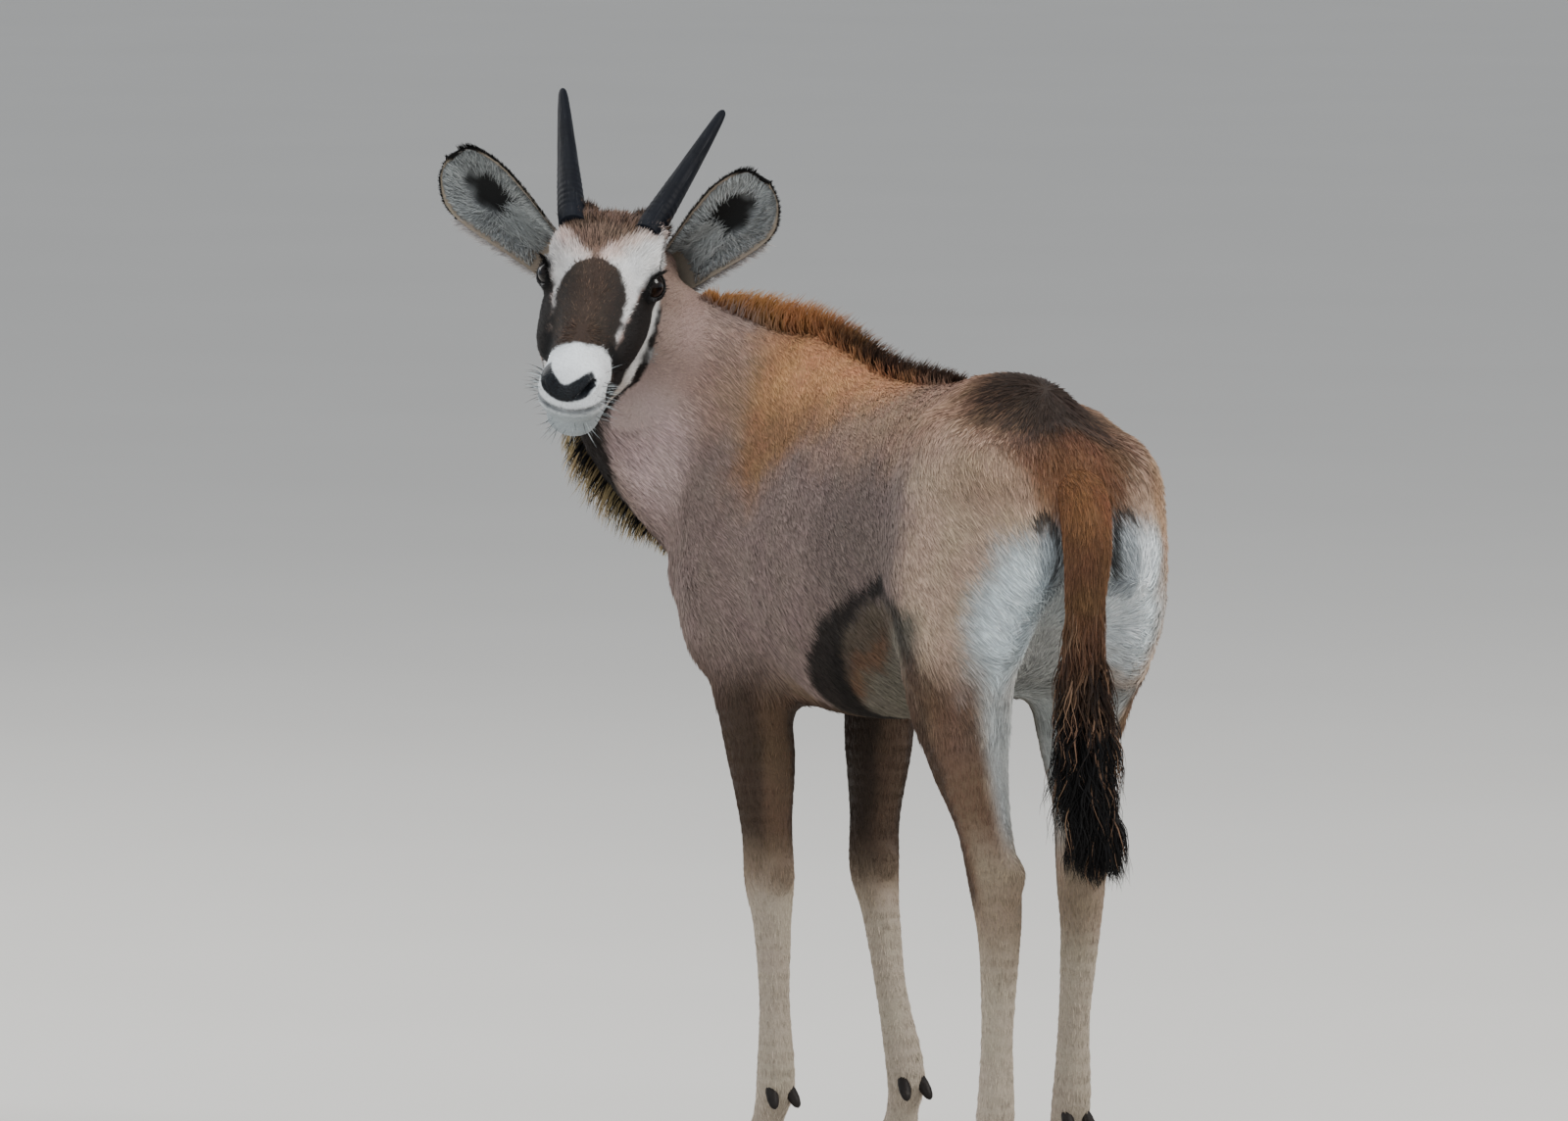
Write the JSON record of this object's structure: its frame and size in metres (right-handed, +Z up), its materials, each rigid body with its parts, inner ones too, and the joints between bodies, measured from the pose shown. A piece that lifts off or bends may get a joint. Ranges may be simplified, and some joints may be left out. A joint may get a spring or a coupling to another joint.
{
  "type": "gemsbok calf figure",
  "caption": "Life-size still figure of a young gemsbok standing square on its hooves and looking back over its left shoulder.",
  "frame": {"origin": "on the floor, at the middle of the figure's bounding box seen from above", "axes": "+X forward along the trunk, +Y to the animal's left, +Z up"},
  "size_m": [0.8964, 0.402, 1.046],
  "materials": {
    "coat": "short lying hair, taupe to sandy with dark brown, black and white markings",
    "ear": "short grey-white hair with a black rim and long pale hair inside",
    "tail": "rust-brown hair ending in a long black wavy tuft",
    "horn": "dark slate horn with fine lengthwise flakes",
    "hoof": "dark satin hoof horn",
    "eye": "wet, near-black gloss"
  },
  "bodies": {
    "root": {"hindquarters": "coat", "torso": "coat", "neck": "coat", "head": "coat", "eye_left": "eye", "eye_right": "eye", "horn_left": "horn", "horn_right": "horn", "ear_left": "ear", "ear_right": "ear", "tail": "tail", "hind_left_upper": "coat", "hind_left_lower": "coat", "hoof_hind_left_a": "hoof", "dewclaw_hind_left_a": "hoof", "hoof_hind_left_b": "hoof", "dewclaw_hind_left_b": "hoof", "hind_right_upper": "coat", "hind_right_lower": "coat", "hoof_hind_right_a": "hoof", "dewclaw_hind_right_a": "hoof", "hoof_hind_right_b": "hoof", "dewclaw_hind_right_b": "hoof", "fore_left_upper": "coat", "fore_left_lower": "coat", "hoof_fore_left_a": "hoof", "dewclaw_fore_left_a": "hoof", "hoof_fore_left_b": "hoof", "dewclaw_fore_left_b": "hoof", "fore_right_upper": "coat", "fore_right_lower": "coat", "hoof_fore_right_a": "hoof", "dewclaw_fore_right_a": "hoof", "hoof_fore_right_b": "hoof", "dewclaw_fore_right_b": "hoof"}
  },
  "joints": []
}
